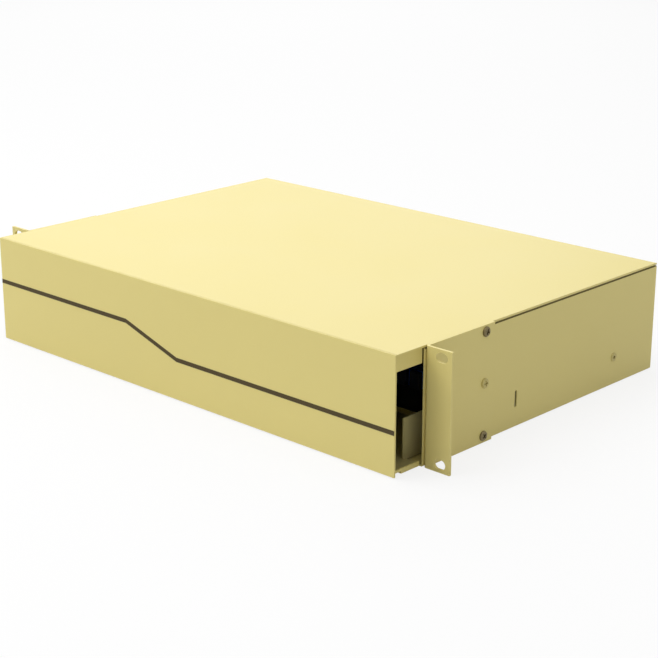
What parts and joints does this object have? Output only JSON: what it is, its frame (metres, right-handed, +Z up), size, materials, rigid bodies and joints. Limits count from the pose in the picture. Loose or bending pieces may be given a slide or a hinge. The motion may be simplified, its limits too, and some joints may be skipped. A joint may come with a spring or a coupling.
{
  "type": "fiber distribution frame",
  "caption": "Two-unit rack frame for optical fibre: a sheet-metal body with rack ears and a sliding drawer with a drop-down striped front, cord windows, adapters and splice trays.",
  "frame": {"origin": "middle of the underside, in the plane where the rack ears meet the rack rails", "axes": "+X to the right when looking at the front, +Y from the front to the rear, +Z up"},
  "size_m": [0.4826, 0.334, 0.088],
  "materials": {
    "paint_beige": "fine textured beige powder coat",
    "zinc_steel": "zinc plated, satin",
    "bright_steel": "bright zinc plated",
    "dark_screw": "dark plated",
    "stripe_brown": "satin paint",
    "black_plate": "satin black powder coat",
    "black_plastic": "moulded, satin",
    "blue_plastic": "moulded, satin",
    "cap_plastic": "moulded, dark blue",
    "sleeve_ceramic": "white ceramic",
    "tray_plastic": "moulded, off-white",
    "clear_plastic": "clear moulded plastic",
    "seal_rubber": "moulded rubber"
  },
  "bodies": {
    "chassis": {"base_pan": "paint_beige", "rear_panel": "paint_beige", "top_cover": "paint_beige", "front_header": "paint_beige", "ear_left": "paint_beige", "ear_right": "paint_beige", "ear_screws": "dark_screw", "ear_nuts": "zinc_steel", "cover_screws": "zinc_steel", "cover_nuts": "zinc_steel", "slide_outer_left": "zinc_steel", "slide_outer_right": "zinc_steel", "slide_rivets": "paint_beige", "door_catches": "black_plastic", "gland_bodies": "black_plastic", "gland_locknuts": "black_plastic", "gland_domes": "black_plastic", "gland_seals": "seal_rubber", "blanking_plugs": "seal_rubber", "cable_anchors": "zinc_steel", "anchor_bars": "zinc_steel", "anchor_screws": "zinc_steel", "ground_stud": "zinc_steel", "ground_nuts": "zinc_steel"},
    "drawer": {"slide_inner_left": "bright_steel", "slide_inner_right": "bright_steel", "runner_screws": "zinc_steel", "drawer_tray": "paint_beige", "front_frame": "paint_beige", "frame_rivets": "zinc_steel", "cord_rings": "black_plastic", "hinge_frame_leaves": "zinc_steel", "hinge_pins": "bright_steel", "adapter_bracket": "paint_beige", "bracket_screws": "zinc_steel", "adapter_plate_left": "black_plate", "adapter_plate_centre": "black_plate", "adapter_plate_right": "black_plate", "plate_screws": "zinc_steel", "adapters_left": "blue_plastic", "adapters_centre": "blue_plastic", "adapters_right": "blue_plastic", "alignment_sleeves": "sleeve_ceramic", "front_dust_caps": "cap_plastic", "rear_dust_caps": "cap_plastic", "tray_cradle": "zinc_steel", "splice_tray_lower": "tray_plastic", "splice_combs_lower": "black_plastic", "fibre_reels": "black_plastic"},
    "door": {"front_door": "paint_beige", "door_stripe": "stripe_brown", "hinge_door_leaves": "zinc_steel", "catch_strikes": "zinc_steel"},
    "upper_tray": {"splice_tray_upper": "tray_plastic", "splice_combs_upper": "black_plastic", "splice_cover": "clear_plastic"},
    "cage_left": {"ball_cage_left": "zinc_steel", "slide_balls_left": "bright_steel"},
    "cage_right": {"ball_cage_right": "zinc_steel", "slide_balls_right": "bright_steel"}
  },
  "joints": [
    {"name": "drawer_slide", "type": "slide", "parent": "chassis", "child": "drawer", "axis": [0, -1, 0], "range_m": [0, 0.2]},
    {"name": "door_hinge", "type": "hinge", "parent": "drawer", "child": "door", "pos_m": [0, -0.0273, 0.0047], "axis": [1, 0, 0], "range_deg": [0, 90]},
    {"name": "splice_tray_tilt", "type": "hinge", "parent": "drawer", "child": "upper_tray", "pos_m": [0, 0.219, 0.022], "axis": [-1, 0, 0], "range_deg": [0, 24]},
    {"name": "cage_slide_left", "type": "slide", "parent": "chassis", "child": "cage_left", "axis": [0, -1, 0], "range_m": [0, 0.1]},
    {"name": "cage_slide_right", "type": "slide", "parent": "chassis", "child": "cage_right", "axis": [0, -1, 0], "range_m": [0, 0.1]}
  ],
  "couplings": [
    {"joint": "cage_slide_left", "follows": "drawer_slide", "ratio": 0.5},
    {"joint": "cage_slide_right", "follows": "drawer_slide", "ratio": 0.5}
  ]
}
